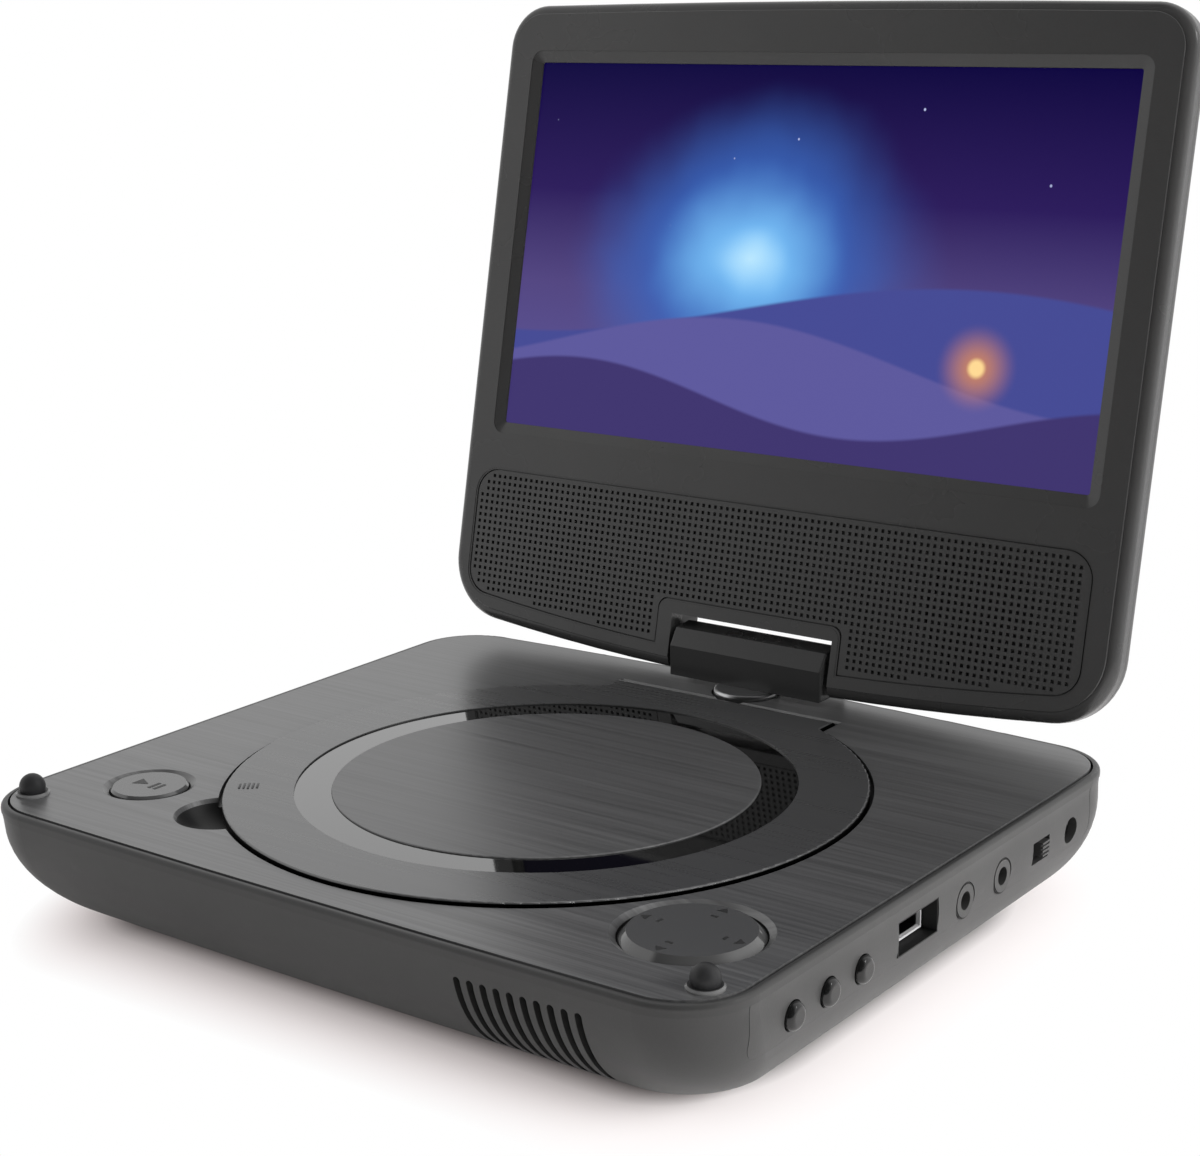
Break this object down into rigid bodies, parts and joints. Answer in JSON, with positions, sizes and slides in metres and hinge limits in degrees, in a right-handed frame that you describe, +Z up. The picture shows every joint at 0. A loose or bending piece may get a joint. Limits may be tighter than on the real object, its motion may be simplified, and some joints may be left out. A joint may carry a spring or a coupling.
{
  "type": "portable dvd player",
  "caption": "Flat clamshell disc player: base with round disc door, keys and side ports; widescreen half with speakers on a swivel and tilt hinge.",
  "frame": {"origin": "on the table under the middle of the base's outline", "axes": "+X to the right towards the port side, +Y to the back where the screen stands, +Z up"},
  "size_m": [0.1798, 0.1892, 0.1787],
  "materials": {
    "case": "satin dark grey plastic",
    "bezel": "satin warm dark grey plastic",
    "panel": "satin grey plastic",
    "plate": "dark brushed metal plate",
    "door": "dark brushed door skin",
    "gloss": "glossy black",
    "rubber": "soft black",
    "steel": "turned steel",
    "sheet": "pressed zinc-plated sheet",
    "bright": "bright plated",
    "black_plastic": "moulded black",
    "circuit_board": "green lacquered board",
    "chips": "moulded packages",
    "battery": "blue shrink sleeve",
    "brass": "turned brass",
    "lens": "coated lens",
    "keys": "glossy-edged dark grey keys",
    "side_keys": "satin grey keys",
    "hinge": "satin dark grey",
    "grille": "perforated dark panel",
    "speaker": "speaker with a paper cone",
    "screen": "lit display behind a polarised face",
    "backlight": "white light guide stack"
  },
  "bodies": {
    "base": {"av_jack": "black_plastic", "base_lower_case": "case", "base_upper_case": "case", "battery_pack": "battery", "board_components": "chips", "case_screws": "steel", "dc_inlet": "black_plastic", "disc_tray": "black_plastic", "door_hinge_pins": "steel", "drive_chassis": "sheet", "drive_grommets": "rubber", "guide_rods": "steel", "headphone_jack": "black_plastic", "inner_screws": "steel", "main_board": "circuit_board", "nav_key_board": "circuit_board", "nav_key_switches": "black_plastic", "play_key_board": "circuit_board", "play_key_switch": "black_plastic", "port_panel": "panel", "power_switch_body": "black_plastic", "rubber_feet": "rubber", "screen_bumpers": "rubber", "side_switches": "black_plastic", "sled_motor": "steel", "spindle_motor": "steel", "swivel_bush": "brass", "top_plate": "plate", "usb_shell": "bright", "usb_tongue": "black_plastic"},
    "spindle": {"spindle_hub": "black_plastic", "clamp_balls": "bright"},
    "sled": {"optical_sled": "black_plastic", "sled_lens": "lens"},
    "screw": {"lead_screw": "steel"},
    "door": {"disc_door": "door", "door_gloss_ring": "gloss", "door_centre_disc": "plate"},
    "nav_key": {"nav_pad": "keys"},
    "play_key": {"play_button": "keys"},
    "side_key_front": {"side_button_front": "side_keys"},
    "side_key_middle": {"side_button_middle": "side_keys"},
    "side_key_rear": {"side_button_rear": "side_keys"},
    "power_knob": {"power_switch_knob": "side_keys"},
    "swivel": {"turntable": "hinge", "hinge_block": "hinge", "hinge_pins": "steel", "swivel_shaft": "steel", "swivel_nut": "steel"},
    "screen_half": {"lid_bezel": "bezel", "lid_back_cover": "case", "speaker_grille": "grille", "speakers": "speaker", "lcd_glass": "screen", "lcd_frame": "sheet", "lcd_backlight": "backlight", "lid_board": "circuit_board", "hinge_brackets": "sheet", "lid_screws": "steel"}
  },
  "joints": [
    {"name": "screen_swivel", "type": "hinge", "parent": "base", "child": "swivel", "pos_m": [0, 0.0699, 0.0268], "axis": [0, 0, 1], "range_deg": [-180, 0]},
    {"name": "screen_tilt", "type": "hinge", "parent": "swivel", "child": "screen_half", "pos_m": [0, 0.074, 0.0344], "axis": [-1, 0, 0], "range_deg": [-101.8, 75]},
    {"name": "disc_door_hinge", "type": "hinge", "parent": "base", "child": "door", "pos_m": [0, 0.0593, 0.0252], "axis": [-1, 0, 0], "range_deg": [0, 60]},
    {"name": "nav_pad_press", "type": "slide", "parent": "base", "child": "nav_key", "axis": [0, 0, -1], "range_m": [0, 0.0005], "stiffness_N_per_m": 1500, "springref_m": -0.0003},
    {"name": "play_button_press", "type": "slide", "parent": "base", "child": "play_key", "axis": [0, 0, -1], "range_m": [0, 0.0005], "stiffness_N_per_m": 1500, "springref_m": -0.0003},
    {"name": "side_button_front_press", "type": "slide", "parent": "base", "child": "side_key_front", "axis": [-1, 0, 0], "range_m": [0, 0.0005], "stiffness_N_per_m": 1500, "springref_m": -0.0003},
    {"name": "side_button_middle_press", "type": "slide", "parent": "base", "child": "side_key_middle", "axis": [-1, 0, 0], "range_m": [0, 0.0005], "stiffness_N_per_m": 1500, "springref_m": -0.0003},
    {"name": "side_button_rear_press", "type": "slide", "parent": "base", "child": "side_key_rear", "axis": [-1, 0, 0], "range_m": [0, 0.0005], "stiffness_N_per_m": 1500, "springref_m": -0.0003},
    {"name": "power_switch_slide", "type": "slide", "parent": "base", "child": "power_knob", "axis": [0, -1, 0], "range_m": [0, 0.003]},
    {"name": "disc_spin", "type": "hinge", "parent": "base", "child": "spindle", "pos_m": [0, -0.004, 0.02], "axis": [0, 0, 1], "continuous": true},
    {"name": "sled_travel", "type": "slide", "parent": "base", "child": "sled", "axis": [0, 1, 0], "range_m": [0, 0.032]},
    {"name": "lead_screw_turn", "type": "hinge", "parent": "base", "child": "screw", "pos_m": [0.025, 0.03, 0.012], "axis": [0, 1, 0], "range_deg": [0, 3840.5]}
  ],
  "couplings": [
    {"joint": "lead_screw_turn", "follows": "sled_travel", "rad_per_m": 2094.4}
  ]
}
